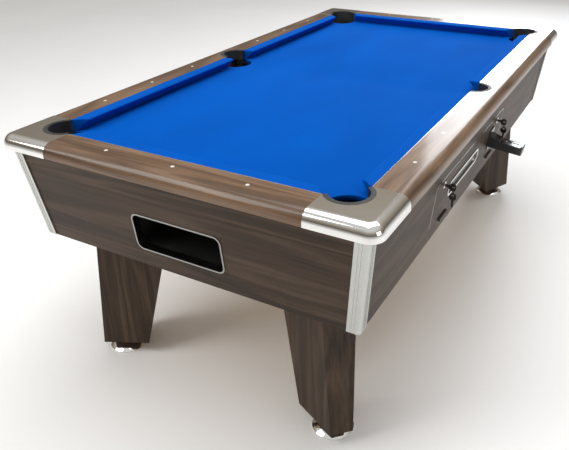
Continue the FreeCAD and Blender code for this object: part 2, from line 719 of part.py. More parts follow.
def foot():
    """Domed levelling foot, its locknut and its threaded stem."""
    neck = 15.0
    shoulder = LEG_BOTTOM - 14.5
    rise = FOOT_DOME - FOOT_RIM
    bulge = vector(FOOT_RADIUS - 22.0, 0, FOOT_RIM + 0.72 * rise)
    dome = Part.Arc(vector(FOOT_RADIUS, 0, FOOT_RIM), bulge, vector(neck, 0, FOOT_DOME)).toShape()
    rest = Part.makePolygon([vector(neck, 0, FOOT_DOME), vector(neck, 0, shoulder), vector(0, 0, shoulder),
                             vector(0, 0, 0), vector(FOOT_RADIUS - 2, 0, 0), vector(FOOT_RADIUS, 0, 2),
                             vector(FOOT_RADIUS, 0, FOOT_RIM)])
    disc = Part.Face(Part.Wire([dome] + rest.Edges)).revolve(vector(0, 0, 0), UP, 360)
    disc.translate(vector(FOOT_X, FOOT_Y, 0))
    nut = hexagon(LOCKNUT_FLATS, FOOT_X, FOOT_Y, shoulder, LEG_BOTTOM - 0.5)
    stem = upright(STEM_RADIUS, FOOT_X, FOOT_Y, shoulder, LEG_BOTTOM + STEM_LENGTH - 10)
    return disc.fuse([nut, stem]).removeSplitter()


# --- ball return ---------------------------------------------------------------------------------
def channel(start, end, width, wall, depth):
    """Open-topped channel; start and end are the middles of its floor's top."""
    along = end - start
    side = vector(-along.y, along.x, 0).normalize()
    inner = width / 2
    outer = inner + wall
    outline = [(-outer, depth), (-outer, -wall), (outer, -wall), (outer, depth), (inner, depth), (inner, 0),
               (-inner, 0), (-inner, depth)]
    points = [start + side * across + UP * height for across, height in outline]
    return prism(points, along)


def run_ends():
    """Ends of the floors of the three gutters and the ball rack, in the order a ball rolls."""
    end_y = inner_y(LEFT_RUN_HEIGHT) - 22.0
    cross_y = CORNER_Y
    left_low = LEFT_RUN_HEIGHT - GUTTER_FALL * (end_y + cross_y - GUTTER_OUTER)
    cross_high = left_low - 3.0
    cross_low = cross_high - GUTTER_FALL * 2 * (GUTTER_X - GUTTER_OUTER)
    right_high = cross_low - 3.0
    right_end = 30.0
    right_low = right_high - GUTTER_FALL * (cross_y - GUTTER_OUTER - right_end)
    rack_start = right_end - 1.0
    rack_end = -(CORNER_Y - CHUTE_WIDTH / 2 + 4.0)
    rack_low = RACK_HEIGHT - RUN_FALL * (rack_start - rack_end)
    return {
        "left": (vector(-GUTTER_X, -end_y, LEFT_RUN_HEIGHT),
                 vector(-GUTTER_X, cross_y - GUTTER_OUTER, left_low)),
        "cross": (vector(-GUTTER_X - GUTTER_OUTER, cross_y, cross_high),
                  vector(GUTTER_X - GUTTER_OUTER, cross_y, cross_low)),
        "right": (vector(GUTTER_X, cross_y + GUTTER_OUTER, right_high),
                  vector(GUTTER_X, right_end, right_low)),
        "rack": (vector(GUTTER_X, rack_start, RACK_HEIGHT), vector(GUTTER_X, rack_end, rack_low)),
    }


def floor_at(name, y):
    """Height of a lengthwise run's floor at a place along the table."""
    start, end = run_ends()[name]
    share = (y - start.y) / (end.y - start.y)
    return start.z + share * (end.z - start.z)


def run_of(name):
    start, end = run_ends()[name]
    return channel(start, end, GUTTER_WIDTH, GUTTER_WALL, GUTTER_HEIGHT)


def ball_gutters():
    """Left, cross and right gutters and the rack behind the viewing slot.

    The cross gutter's wall is open where the left gutter ends, and the right gutter's wall is open where
    the cross gutter ends.
    """
    half = GUTTER_WIDTH / 2
    top = GUTTER_HEIGHT + 1
    cross_start, cross_end = run_ends()["cross"]
    right_start = run_ends()["right"][0]
    into_cross = box(-GUTTER_X - half, -GUTTER_X + half, CORNER_Y - GUTTER_OUTER - 1, CORNER_Y - half,
                     cross_start.z, cross_start.z + top)
    into_right = box(cross_end.x - 1, GUTTER_X - half, CORNER_Y - half, CORNER_Y + half,
                     right_start.z, right_start.z + top)
    rod_hole = rod_x(GATE_ROD + ROD_CLEARANCE, 0, EDGE_X, gate_y(), gate_z())
    return [run_of("left"), run_of("cross").cut(into_cross), run_of("right").cut(into_right),
            run_of("rack").cut(rod_hole)]


def gutter_straps():
    """Steel straps that hang the runs from the cross bearers."""
    straps = []
    for y in BEARER_PLACES:
        straps.append(strap(-GUTTER_X, y, floor_at("left", y) - GUTTER_WALL))
        name = "right" if y > 0 else "rack"
        straps.append(strap(GUTTER_X, y, floor_at(name, y) - GUTTER_WALL))
    return straps


def strap(x, y, underside):
    """U-shaped strap round one gutter."""
    inner = GUTTER_OUTER
    outer = inner + STRAP_THICKNESS
    slack = RUN_FALL * STRAP_WIDTH / 2
    band = box(x - outer, x + outer, y - STRAP_WIDTH / 2, y + STRAP_WIDTH / 2,
               underside - STRAP_THICKNESS - slack, BEARER_BOTTOM)
    space = box(x - inner, x + inner, y - STRAP_WIDTH, y + STRAP_WIDTH, underside - slack, BEARER_BOTTOM + 1)
    return band.cut(space)


def gate_y():
    return SLOT_START - 60.0


def gate_z():
    return floor_at("rack", gate_y()) + GUTTER_HEIGHT - 7.0


def ball_gate():
    """Flap on a cross rod that holds the balls in the rack."""
    y = gate_y()
    z = gate_z()
    rod = rod_x(GATE_ROD, GUTTER_X - GUTTER_OUTER - 2.0, GUTTER_X + GUTTER_OUTER + 2.0, y, z)
    width = GUTTER_WIDTH / 2 - 2.0
    flap = box(GUTTER_X - width, GUTTER_X + width, y - GATE_THICKNESS / 2, y + GATE_THICKNESS / 2,
               floor_at("rack", y) + 5.0, z)
    return rod.fuse(flap).removeSplitter()


def chute_ends():
    """The chute takes balls from the rack across to the tray."""
    start_x = GUTTER_X + GUTTER_OUTER
    end_x = TRAY_WIDTH / 2 + TRAY_WALL
    high = run_ends()["rack"][1].z - GUTTER_WALL - 3.0
    low = high - RUN_FALL * (start_x - end_x)
    return vector(start_x, -CORNER_Y, high), vector(end_x, -CORNER_Y, low)


def ball_chute():
    start, end = chute_ends()
    wall = GUTTER_WALL
    chute = channel(start, end, CHUTE_WIDTH, wall, GUTTER_HEIGHT)
    mouth = box(GUTTER_X - GUTTER_OUTER - wall, start.x + 1, -CORNER_Y + CHUTE_WIDTH / 2,
                -CORNER_Y + CHUTE_WIDTH, start.z, start.z + GUTTER_HEIGHT + 1)
    return chute.cut(mouth)


def chute_blocks():
    """Blocks that carry the chute on the base board."""
    start, end = chute_ends()
    blocks = []
    for x in (end.x + 60, start.x - 80):
        share = (x - start.x) / (end.x - start.x)
        top = start.z + share * (end.z - start.z) - GUTTER_WALL
        rise = RUN_FALL * 20
        points = [vector(x - 20, -CORNER_Y - 30, BASE_TOP), vector(x + 20, -CORNER_Y - 30, BASE_TOP),
                  vector(x + 20, -CORNER_Y - 30, top + rise), vector(x - 20, -CORNER_Y - 30, top - rise)]
        blocks.append(prism(points, vector(0, 60, 0)))
    return blocks


def tray_floor():
    return chute_ends()[1].z - 3.0


def return_tray():
    """Open-fronted tray behind the window; its side walls stand on the base board."""
    floor = tray_floor()
    half = TRAY_WIDTH / 2
    wall = TRAY_WALL
    front = -inner_y(BASE_TOP) + 0.5
    back = front + TRAY_DEPTH
    shell = box(-half - wall, half + wall, front, back + wall, BASE_TOP, floor + TRAY_HEIGHT)
    space = box(-half, half, front - 1, back, floor, floor + TRAY_HEIGHT + 1)
    under = box(-half, half, front - 1, back + wall + 1, BASE_TOP - 1, floor - wall)
    entry = box(half - 1, half + wall + 1, -CORNER_Y - CHUTE_WIDTH / 2, -CORNER_Y + CHUTE_WIDTH / 2,
                floor, floor + TRAY_HEIGHT + 1)
    return shell.cut([space, under, entry])


def cash_box():
    """Open box under the coin unit, on the base board."""
    x1 = inner_x(BASE_TOP) - 3.0
    height = 58.0
    outer = box(x1 - 115, x1, COIN_PLACE - 65, COIN_PLACE + 65, BASE_TOP, BASE_TOP + height)
    space = box(x1 - 113, x1 - 2, COIN_PLACE - 63, COIN_PLACE + 63, BASE_TOP + 2, BASE_TOP + height + 1)
    return outer.cut(space)


# --- service door, in its flat layout --------------------------------------------------------------
def slot_middle():
    return (SLOT_START + SLOT_END) / 2


def slot_plate(inset, thickness, outwards):
    """Round-ended plate of the viewing slot, smaller all round by the inset."""
    height = SLOT_HEIGHT - 2 * inset
    plate = rounded_plate(SLOT_END - SLOT_START - 2 * inset, height, height / 2, thickness)
    return facing_side(plate, slot_middle(), SLOT_RISE, outwards)


def coin_hole():
    return box(-DOOR_THICKNESS - 1, 1, COIN_PLACE - COIN_WIDTH / 2, COIN_PLACE + COIN_WIDTH / 2,
               COIN_RISE - COIN_HEIGHT / 2, COIN_RISE + COIN_HEIGHT / 2)


def hinge_axis():
    """Distance out from the face and height of the hinge's pin."""
    return HINGE_RADIUS - 1.0, DOOR_RISE - DOOR_GAP / 2


def hinge_recess(y, rise_from, rise_to):
    return box(-HINGE_PLATE, 1, y - HINGE_LENGTH / 2, y + HINGE_LENGTH / 2, rise_from, rise_to)


def door_panel():
    panel = box(-DOOR_THICKNESS, 0, DOOR_START, DOOR_END, DOOR_RISE, DOOR_RISE + DOOR_HEIGHT)
    cutters = [slot_plate(BEZEL_WIDTH / 2, 3 * DOOR_THICKNESS, -2 * DOOR_THICKNESS), coin_hole()]
    for y in LOCK_PLACES.values():
        cutters.append(rod_x(LOCK_BARREL, -DOOR_THICKNESS - 1, 1, y, LOCK_RISE))
    for y in HINGE_PLACES:
        cutters.append(hinge_recess(y, DOOR_RISE - 1, DOOR_RISE + HINGE_LEAF))
    return on_side_panel(panel.cut(cutters))


def slot_bezel():
    """Bright round-ended frame with a sleeve through the door."""
    flange = slot_plate(0, BEZEL_PROUD, 0)
    sleeve = slot_plate(BEZEL_WIDTH / 2, DOOR_THICKNESS, -DOOR_THICKNESS)
    bore = slot_plate(BEZEL_WIDTH, 3 * DOOR_THICKNESS, -2 * DOOR_THICKNESS)
    return on_side_panel(flange.fuse(sleeve).cut(bore).removeSplitter())


def slot_pane():
    return on_side_panel(slot_plate(BEZEL_WIDTH, PANE_THICKNESS, -PANE_THICKNESS - 2))


def knuckles(y, parts):
    """Every other fifth of the hinge's barrel."""
    out, rise = hinge_axis()
    fifth = HINGE_LENGTH / 5
    pieces = []
    for k in parts:
        start = y - HINGE_LENGTH / 2 + k * fifth
        pieces.append(rod_y(HINGE_RADIUS, start + 0.3, start + fifth - 0.3, out, rise))
    return pieces


def hinge_half(y, parts, rise_from, rise_to, bore):
    """One leaf with its knuckles; the other leaf's knuckles pass through its gaps."""
    out, rise = hinge_axis()
    fifth = HINGE_LENGTH / 5
    leaf = hinge_recess(y, rise_from, rise_to).common(box(-HINGE_PLATE, 0, -2000, 2000, 0, 400))
    half = leaf.fuse(knuckles(y, parts))
    others = [k for k in range(5) if k not in parts]
    for k in others:
        start = y - HINGE_LENGTH / 2 + k * fifth
        half = half.cut(rod_y(HINGE_RADIUS + 0.4, start - 0.3, start + fifth + 0.3, out, rise))
    if bore:
        return half.cut(rod_y(HINGE_PIN + ROD_CLEARANCE, y - HINGE_LENGTH, y + HINGE_LENGTH, out, rise))
    pin = rod_y(HINGE_PIN, y - HINGE_LENGTH / 2, y + HINGE_LENGTH / 2, out, rise)
    return half.fuse(pin)


def hinge_leaves_fixed():
    low = DOOR_RISE - DOOR_GAP - HINGE_LEAF
    return [on_side_panel(hinge_half(y, (0, 2, 4), low, DOOR_RISE - DOOR_GAP, False)) for y in HINGE_PLACES]


def hinge_leaves_moving():
    high = DOOR_RISE + HINGE_LEAF
    return [on_side_panel(hinge_half(y, (1, 3), DOOR_RISE, high, True)) for y in HINGE_PLACES]


def hinge_pockets():
    """Recesses for the fixed leaves in the cabinet's side."""
    low = DOOR_RISE - DOOR_GAP - HINGE_LEAF
    return [on_side_panel(hinge_recess(y, low, DOOR_RISE)) for y in HINGE_PLACES]


# --- locks and keys ------------------------------------------------------------------------------
def lock_barrels():
    """Chrome collars and barrels of the two cam locks."""
    barrels = []
    for y in LOCK_PLACES.values():
        collar = rod_x(LOCK_FLANGE, 0, 4, y, LOCK_RISE)
        body = rod_x(LOCK_BARREL, -DOOR_THICKNESS - 4, 0, y, LOCK_RISE)
        bore = rod_x(PLUG_RADIUS + PLUG_CLEARANCE, -DOOR_THICKNESS - 5, 5, y, LOCK_RISE)
        barrels.append(on_side_panel(collar.fuse(body).cut(bore).removeSplitter()))
    return barrels


def lock_core(y):
    """Turning plug with its cam, unlocked: the cam lies along the door."""
    back = -DOOR_THICKNESS - 4.5
    plug = rod_x(PLUG_RADIUS, back, 4.5, y, LOCK_RISE)
    cam = box(back - CAM_THICKNESS, back, y - CAM_WIDTH / 2, y + CAM_LENGTH, LOCK_RISE - CAM_WIDTH / 2,
              LOCK_RISE + CAM_WIDTH / 2)
    slot = box(-14, 5, y - 1.2, y + 1.2, LOCK_RISE - 4.2, LOCK_RISE + 4.2)
    return on_side_panel(plug.fuse(cam).cut(slot).removeSplitter())


def lock_key(y):
    """Key in its lock: a blade in the plug's slot and an upright round bow with a hole."""
    half = KEY_BOW_THICKNESS / 2
    blade = box(-12, KEY_REACH - KEY_BOW, y - 1.0, y + 1.0, LOCK_RISE - 4, LOCK_RISE + 4)
    bow = rod_y(KEY_BOW, y - half, y + half, KEY_REACH - 3, LOCK_RISE)
    hole = rod_y(KEY_HOLE, y - 9, y + 9, KEY_REACH, LOCK_RISE)
    return on_side_panel(blade.fuse(bow).cut(hole).removeSplitter())


def spare_pivot(y):
    """Point in the key's hole that the ring hangs from, on the real sloping door."""
    return on_side_panel(Part.Vertex(KEY_REACH, y, LOCK_RISE - KEY_HOLE + RING_WIRE + RING_SLACK)).Point


def spare_keys(y):
    """Split ring and the spare key that hang from the key in the lock."""
    top = spare_pivot(y)
    centre = vector(top.x, y, top.z - RING_RADIUS)
    ring = Part.makeTorus(RING_RADIUS, RING_WIRE, centre, vector(1, 0, 0))
    hole_z = centre.z - RING_RADIUS + RING_WIRE - KEY_HOLE + 0.31
    middle_z = hole_z - (KEY_BOW - KEY_HOLE - 2.5)
    half = KEY_BOW_THICKNESS / 2 - 1.0
    bow = rod_y(KEY_BOW, y - half, y + half, top.x, middle_z)
    bow = bow.cut(rod_y(KEY_HOLE, y - 9, y + 9, top.x, hole_z))
    blade = box(top.x - 3.5, top.x + 3.5, y - 1.0, y + 1.0, middle_z - KEY_BOW - 24, middle_z - KEY_BOW + 2)
    return [ring, bow.fuse(blade).removeSplitter()]


# --- coin unit -----------------------------------------------------------------------------------
def slide_bottom():
    return COIN_RISE + COIN_HEIGHT / 2 - SLIDE_THICKNESS


def slide_groove():
    half = SLIDE_WIDTH / 2 + SLIDE_GAP
    return box(-DOOR_THICKNESS - 5, COIN_LENGTH + 5, COIN_PLACE - half, COIN_PLACE + half,
               slide_bottom() - SLIDE_GAP, slide_bottom() + SLIDE_THICKNESS + SLIDE_GAP)


def coin_housing():
    """Black body, its flange, and the cover over the inner half of the slide."""
    half = COIN_WIDTH / 2
    low = COIN_RISE - COIN_HEIGHT / 2
    high = COIN_RISE + COIN_HEIGHT / 2
    body = box(-DOOR_THICKNESS - 2, COIN_LENGTH, COIN_PLACE - half, COIN_PLACE + half, low, high)
    outer_ends = [e for e in body.Edges if is_end_corner(e)]
    body = body.makeFillet(6.0, outer_ends)
    outline = [vector(0, COIN_PLACE - half, high - 1), vector(SLIDE_COVER, COIN_PLACE - half, high - 1),
               vector(SLIDE_COVER, COIN_PLACE - half, high + COVER_LIP),
               vector(0, COIN_PLACE - half, high + COVER_RISE)]
    cover = prism(outline, vector(0, COIN_WIDTH, 0))
    flange = rounded_plate(COIN_FLANGE_WIDTH, COIN_FLANGE_HEIGHT, 12.0, COIN_FLANGE_THICKNESS)
    flange = facing_side(flange, COIN_PLACE, COIN_RISE + COIN_FLANGE_LIFT, 0)
    return on_side_panel(body.fuse([cover, flange]).cut(slide_groove()).removeSplitter())


def is_end_corner(edge):
    """Upright edges at the outer end of the coin unit's body."""
    points = [v.Point for v in edge.Vertexes]
    at_end = all(abs(p.x - COIN_LENGTH) < 0.01 for p in points)
    return at_end and abs(points[0].z - points[1].z) > 1


def coin_slide():
    """Slide with two coin seats and a raised push plate at its outer end."""
    half = SLIDE_WIDTH / 2
    low = slide_bottom()
    high = low + SLIDE_THICKNESS
    end = COIN_LENGTH - 2
    near = COIN_PLACE - half
    far = COIN_PLACE + half
    plate = box(SLIDE_TRAVEL - DOOR_THICKNESS + 2, end, near, far, low, high)
    handle = box(end - 7, end, near, far, high - 1, high + 7)
    seats = [Part.makeCylinder(COIN_RADIUS, 3.0, vector(x, COIN_PLACE, high - 2.4), UP)
             for x in (COIN_LENGTH - 28, COIN_LENGTH - 60)]
    return on_side_panel(plate.fuse(handle).cut(seats).removeSplitter())


# --- all nodes -----------------------------------------------------------------------------------
def build_top():
    save("slate_bed", slate_bed())
    save("bed_cloth", bed_cloth())
    save("rail_bolts", *rail_bolts())
    save("slate_bearers", *slate_ledges(), *cross_bearers())
    for name, rail in zip(("rail_right", "rail_left"), on_both_sides(long_rail())):
        save(name, rail)
    for name, rail in zip(("rail_far", "rail_near"), on_both_ends(short_rail())):
        save(name, rail)
    save("rail_sights", *sights())
    save("rail_edge_strips", *edge_strips())
    for name, cushion in zip(("cushion_far", "cushion_near"), on_both_ends(short_cushion())):
        save(name, cushion)
    shell = corner_solid(0.0).cut(corner_solid(CASTING_SKIN))
    for quadrant in QUADRANTS:
        save("cushion_" + quadrant, placed_in(quadrant, long_cushion()))
        save("casting_" + quadrant, placed_in(quadrant, shell))
    save("corner_blocks", *in_all_corners(corner_solid(CASTING_SKIN)))
    save("corner_liners", *in_all_corners(corner_liner()))
    save("side_liners", *on_both_sides(side_liner()))
    save("side_pocket_trims", *on_both_sides(side_trim()))


def build_cabinet():
    left = side_panel().mirror(vector(0, 0, 0), vector(1, 0, 0))
    near = end_panel().mirror(vector(0, 0, 0), vector(0, 1, 0))
    save("cabinet_side_left", left)
    save("cabinet_side_right", side_panel().cut([door_opening()] + hinge_pockets()))
    save("cabinet_end_far", end_panel())
    save("cabinet_end_near", near.cut(window_cutter()))
    save("window_rim", window_rim())
    save("corner_trims", *in_all_corners(corner_trim()))
    save("base_board", base_board())
    for quadrant in QUADRANTS:
        save("leg_" + quadrant, placed_in(quadrant, leg()))
        save("foot_" + quadrant, placed_in(quadrant, foot()))
    save("leg_bolts", *leg_bolts())


def build_ball_return():
    save("ball_gutters", *ball_gutters())
    save("gutter_straps", *gutter_straps())
    save("ball_gate", ball_gate())
    save("ball_chute", ball_chute(), *chute_blocks())
    save("return_tray", return_tray())
    save("cash_box", cash_box())


def build_door():
    save("door_panel", door_panel())
    save("slot_bezel", slot_bezel())
    save("slot_pane", slot_pane())
    save("hinge_leaves_fixed", *hinge_leaves_fixed())
    save("hinge_leaves_moving", *hinge_leaves_moving())
    save("lock_barrels", *lock_barrels())
    for side, y in LOCK_PLACES.items():
        save("lock_core_" + side, lock_core(y))
        save("key_" + side, lock_key(y))
        save("spare_key_" + side, *spare_keys(y))
    save("coin_housing", coin_housing())
    save("coin_slide", coin_slide())


os.makedirs("parts", exist_ok=True)
build_top()
build_cabinet()
build_ball_return()
build_door()
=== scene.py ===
"""Pool table: finishes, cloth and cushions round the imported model."""
import math

import bmesh
import bpy
from mathutils import Matrix, Vector, noise


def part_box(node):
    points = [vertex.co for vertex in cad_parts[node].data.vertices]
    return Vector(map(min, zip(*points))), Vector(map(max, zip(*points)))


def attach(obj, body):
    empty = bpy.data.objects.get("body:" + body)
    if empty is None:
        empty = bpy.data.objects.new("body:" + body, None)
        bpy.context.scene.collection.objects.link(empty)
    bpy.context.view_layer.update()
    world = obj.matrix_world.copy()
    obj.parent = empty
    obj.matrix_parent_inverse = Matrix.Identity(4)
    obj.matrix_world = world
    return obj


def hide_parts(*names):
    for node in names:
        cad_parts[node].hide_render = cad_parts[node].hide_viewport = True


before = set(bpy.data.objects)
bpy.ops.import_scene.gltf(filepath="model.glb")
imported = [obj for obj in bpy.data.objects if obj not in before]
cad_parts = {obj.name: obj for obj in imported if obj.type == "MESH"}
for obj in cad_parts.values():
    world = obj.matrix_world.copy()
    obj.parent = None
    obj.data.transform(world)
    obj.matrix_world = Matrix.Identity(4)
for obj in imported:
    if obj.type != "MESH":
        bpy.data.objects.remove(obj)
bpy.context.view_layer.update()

QUADRANTS = {"near_left": (-1, -1), "near_right": (1, -1), "far_left": (-1, 1), "far_right": (1, 1)}

# Sizes in metres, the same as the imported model's.
PLAY_X = 0.4826
PLAY_Y = 0.9652
NOSE_DEPTH = 0.043
LINE_X = PLAY_X + NOSE_DEPTH
LINE_Y = PLAY_Y + NOSE_DEPTH
RAIL_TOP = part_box("rail_right")[1].z
CLOTH_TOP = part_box("bed_cloth")[1].z
CASTING_X = -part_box("casting_near_left")[1].x
CASTING_Y = -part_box("casting_near_left")[1].y
CORNER_POCKET = Vector((PLAY_X + 0.005, PLAY_Y + 0.005))
CORNER_CUT = 0.0671
SIDE_POCKET = Vector((PLAY_X + 0.0394, 0.0))
SIDE_CUT = 0.0681
CORNER_MOUTH = 0.117
SIDE_MOUTH = 0.144
STRIP_WIDTH = 0.0022
DOOR_THICKNESS = 0.020
DOOR_LEAN = 0.0364 / 0.3108


# --- camera --------------------------------------------------------------------------------------
def add_camera():
    """Camera above the near right corner, looking down the table."""
    place = Vector((1.0914, -2.2518, 1.5666))
    heading = math.radians(28.805)
    down = math.radians(25.813)
    roll = math.radians(-0.584)
    data = bpy.data.cameras.new("camera")
    data.sensor_width = 36.0
    data.lens = 40.9
    data.shift_x = -0.0501
    data.shift_y = -0.0772
    camera = bpy.data.objects.new("camera", data)
    turn = Matrix.Rotation(heading, 4, "Z") @ Matrix.Rotation(math.pi / 2 - down, 4, "X")
    camera.matrix_world = Matrix.Translation(place) @ turn @ Matrix.Rotation(roll, 4, "Z")
    bpy.context.scene.collection.objects.link(camera)
    bpy.context.scene.camera = camera


# --- material nodes ------------------------------------------------------------------------------
class Finish:
    """One material and short calls that add and join its nodes."""

    def __init__(self, name, **shader):
        self.material = bpy.data.materials.new(name)
        self.material.use_nodes = True
        self.tree = self.material.node_tree
        self.shader = self.tree.nodes["Principled BSDF"]
        for socket, value in shader.items():
            self.shader.inputs[socket.replace("_", " ")].default_value = value

    def node(self, kind, inputs=(), **settings):
        made = self.tree.nodes.new("ShaderNode" + kind)
        for key, value in settings.items():
            setattr(made, key, value)
        for socket, value in dict(inputs).items():
            self.feed(made.inputs[socket], value)
        return made

    def feed(self, socket, value):
        if isinstance(value, bpy.types.NodeSocket):
            self.tree.links.new(value, socket)
        else:
            socket.default_value = value

    def place(self, scale=(1, 1, 1), shift=(0, 0, 0), turn=(0, 0, 0)):
        """The piece's own coordinates in metres, stretched, shifted and turned."""
        coordinates = self.node("TexCoord").outputs["Object"]
        inputs = {"Vector": coordinates, "Scale": scale, "Location": shift, "Rotation": turn}
        return self.node("Mapping", inputs).outputs["Vector"]

    def noise(self, place, scale, detail=3.0, roughness=0.5, distortion=0.0):
        inputs = {"Vector": place, "Scale": scale, "Detail": detail, "Roughness": roughness,
                  "Distortion": distortion}
        return self.node("TexNoise", inputs).outputs["Fac"]

    def math(self, operation, first, second=0.0, clamp=False):
        made = self.node("Math", operation=operation, use_clamp=clamp)
        self.feed(made.inputs[0], first)
        self.feed(made.inputs[1], second)
        return made.outputs[0]

    def spread(self, value, low, high, to_low=0.0, to_high=1.0):
        inputs = {"Value": value, "From Min": low, "From Max": high, "To Min": to_low, "To Max": to_high}
        return self.node("MapRange", inputs, clamp=True).outputs["Result"]

    def ramp(self, value, *stops):
        made = self.node("ValToRGB", {"Fac": value})
        points = made.color_ramp.elements
        for count, (position, colour) in enumerate(stops):
            point = points[count] if count < 2 else points.new(position)
            point.position = position
            point.color = (*colour, 1.0)
        return made.outputs["Color"]

    def mix(self, factor, first, second, blend="MIX"):
        made = self.node("Mix", data_type="RGBA", blend_type=blend)
        self.feed(made.inputs["Factor"], factor)
        for socket, value in ((made.inputs[6], first), (made.inputs[7], second)):
            self.feed(socket, value if isinstance(value, bpy.types.NodeSocket) else (*value, 1.0))
        return made.outputs[2]

    def colour(self, value):
        self.feed(self.shader.inputs["Base Color"], value)

    def rough(self, value):
        self.feed(self.shader.inputs["Roughness"], value)

    def bump(self, height, depth, strength=1.0):
        inputs = {"Height": height, "Distance": depth, "Strength": strength}
        self.feed(self.shader.inputs["Normal"], self.node("Bump", inputs).outputs["Normal"])


def along_axis(axis, along, across):
    """Scale that stretches a pattern along one axis."""
    return tuple(along if name == axis else across for name in "XYZ")


def walnut(name, axis, tones, gloss, shift=(0, 0, 0), coat=0.0):
    """Walnut laminate: figure, fibres and pores along one axis, with a clear coat where coat is set."""
    dark, middle, light = tones
    finish = Finish(name, Coat_Weight=coat, Coat_Roughness=0.12, Specular_IOR_Level=0.25)
    figure_place = finish.place(along_axis(axis, 0.55, 7.0), shift)
    figure = finish.noise(figure_place, 1.0, 3.0, 0.45, 0.35)
    rings = finish.math("SINE", finish.math("MULTIPLY", figure, 58.0))
    rings = finish.spread(rings, -1.0, 1.0)
    fibre_place = finish.place(along_axis(axis, 5.0, 190.0), shift)
    fibre = finish.noise(fibre_place, 1.0, 4.0, 0.6)
    broad = finish.noise(finish.place(along_axis(axis, 1.1, 16.0), shift), 1.0, 2.0)
    tone = finish.math("MULTIPLY", rings, 0.30)
    tone = finish.math("ADD", tone, finish.math("MULTIPLY", fibre, 0.75))
    tone = finish.math("ADD", tone, finish.math("MULTIPLY", broad, 0.55))
    tone = finish.spread(tone, 0.45, 1.15)
    wood = finish.ramp(tone, (0.0, dark), (1.0, light), (0.5, middle))
    pore_place = finish.place(along_axis(axis, 28.0, 900.0), shift)
    pores = finish.spread(finish.noise(pore_place, 1.0, 2.0, 0.5), 0.60, 0.70)
    pore_colour = tuple(c * 0.45 for c in dark)
    finish.colour(finish.mix(finish.math("MULTIPLY", pores, 0.55), wood, pore_colour))
    finish.rough(finish.spread(fibre, 0.3, 0.7, gloss, gloss + 0.10))
    height = finish.math("SUBTRACT", fibre, finish.math("MULTIPLY", pores, 0.7))
    finish.bump(height, 0.00025, 0.5)
    return finish.material


def bare_wood(name, axis):
    """Unpainted softwood and board inside the cabinet."""
    finish = Finish(name)
    fibre = finish.noise(finish.place(along_axis(axis, 3.0, 70.0)), 1.0, 4.0, 0.6)
    wood = finish.ramp(fibre, (0.3, (0.30, 0.19, 0.10)), (0.7, (0.55, 0.40, 0.25)))
    finish.colour(wood)
    finish.rough(finish.spread(fibre, 0.3, 0.7, 0.6, 0.75))
    finish.bump(fibre, 0.0004, 0.6)
    return finish.material


def billiard_cloth():
    """Napped blue wool: fine twill, short nap and faint pressed streaks."""
    finish = Finish("billiard_cloth", Sheen_Weight=0.01, Sheen_Roughness=0.4, Specular_IOR_Level=0.03)
    finish.shader.inputs["Sheen Tint"].default_value = (0.35, 0.65, 1.0, 1.0)
    place = finish.place()
    nap = finish.noise(place, 900.0, 3.0, 0.7)
    patch = finish.noise(finish.place((5.0, 2.0, 5.0)), 1.0, 3.0, 0.5)
    weave_place = finish.place(turn=(0, 0, math.radians(38)))
    weave_inputs = {"Vector": weave_place, "Scale": 420.0, "Distortion": 1.5, "Detail": 2.0}
    weave = finish.node("TexWave", weave_inputs, wave_type="BANDS").outputs["Fac"]
    tone = finish.math("ADD", finish.math("MULTIPLY", nap, 0.6), finish.math("MULTIPLY", patch, 0.4))
    tone = finish.spread(tone, 0.35, 0.65)
    finish.colour(finish.ramp(tone, (0.0, (0.0, 0.070, 0.37)), (1.0, (0.0, 0.100, 0.50))))
    finish.rough(finish.spread(nap, 0.3, 0.7, 0.82, 0.95))
    height = finish.math("ADD", nap, finish.math("MULTIPLY", weave, 0.5))
    finish.bump(height, 0.0003, 0.55)
    return finish.material


def polished_metal(name, colour, gloss, wear=0.06):
    """Chrome or polished metal with faint smears, hairlines and haze."""
    finish = Finish(name, Metallic=1.0)
    place = finish.place()
    smear = finish.noise(place, 9.0, 4.0, 0.55, 0.6)
    lines = finish.noise(finish.place((400.0, 9.0, 60.0), turn=(0, 0, 0.5)), 1.0, 3.0, 0.6)
    tone = finish.spread(smear, 0.3, 0.7)
    finish.colour(finish.mix(tone, tuple(c * 0.93 for c in colour), colour))
    smear_haze = finish.math("MULTIPLY", smear, wear)
    haze = finish.math("ADD", smear_haze, finish.math("MULTIPLY", lines, wear * 0.5))
    finish.rough(finish.math("ADD", haze, gloss - wear * 0.6))
    finish.bump(finish.math("ADD", smear, finish.math("MULTIPLY", lines, 0.15)), 0.0004, 0.12)
    return finish.material


def brushed_metal(name, colour, axis, gloss=0.32):
    """Satin metal with drawing lines along one axis."""
    finish = Finish(name, Metallic=1.0)
    lines = finish.noise(finish.place(along_axis(axis, 4.0, 900.0)), 1.0, 3.0, 0.65)
    patch = finish.noise(finish.place(), 14.0, 3.0)
    finish.colour(finish.mix(finish.spread(lines, 0.3, 0.7), tuple(c * 0.82 for c in colour), colour))
    finish.rough(finish.math("ADD", finish.spread(lines, 0.3, 0.7, gloss - 0.06, gloss + 0.06),
                             finish.spread(patch, 0.3, 0.7, -0.03, 0.05)))
    finish.bump(lines, 0.00012, 0.5)
    return finish.material


def moulded(name, dark, light, gloss, grain, **shader):
    """Moulded plastic, rubber or paint with a fine surface grain."""
    finish = Finish(name, **shader)
    place = finish.place()
    fine = finish.noise(place, grain, 3.0, 0.6)
    patch = finish.noise(place, 12.0, 4.0, 0.6)
    finish.colour(finish.mix(finish.spread(patch, 0.35, 0.65), dark, light))
    finish.rough(finish.math("ADD", finish.spread(fine, 0.3, 0.7, gloss - 0.05, gloss + 0.05),
                             finish.spread(patch, 0.35, 0.65, -0.04, 0.06)))
    finish.bump(fine, 0.0002, 0.35)
    return finish.material


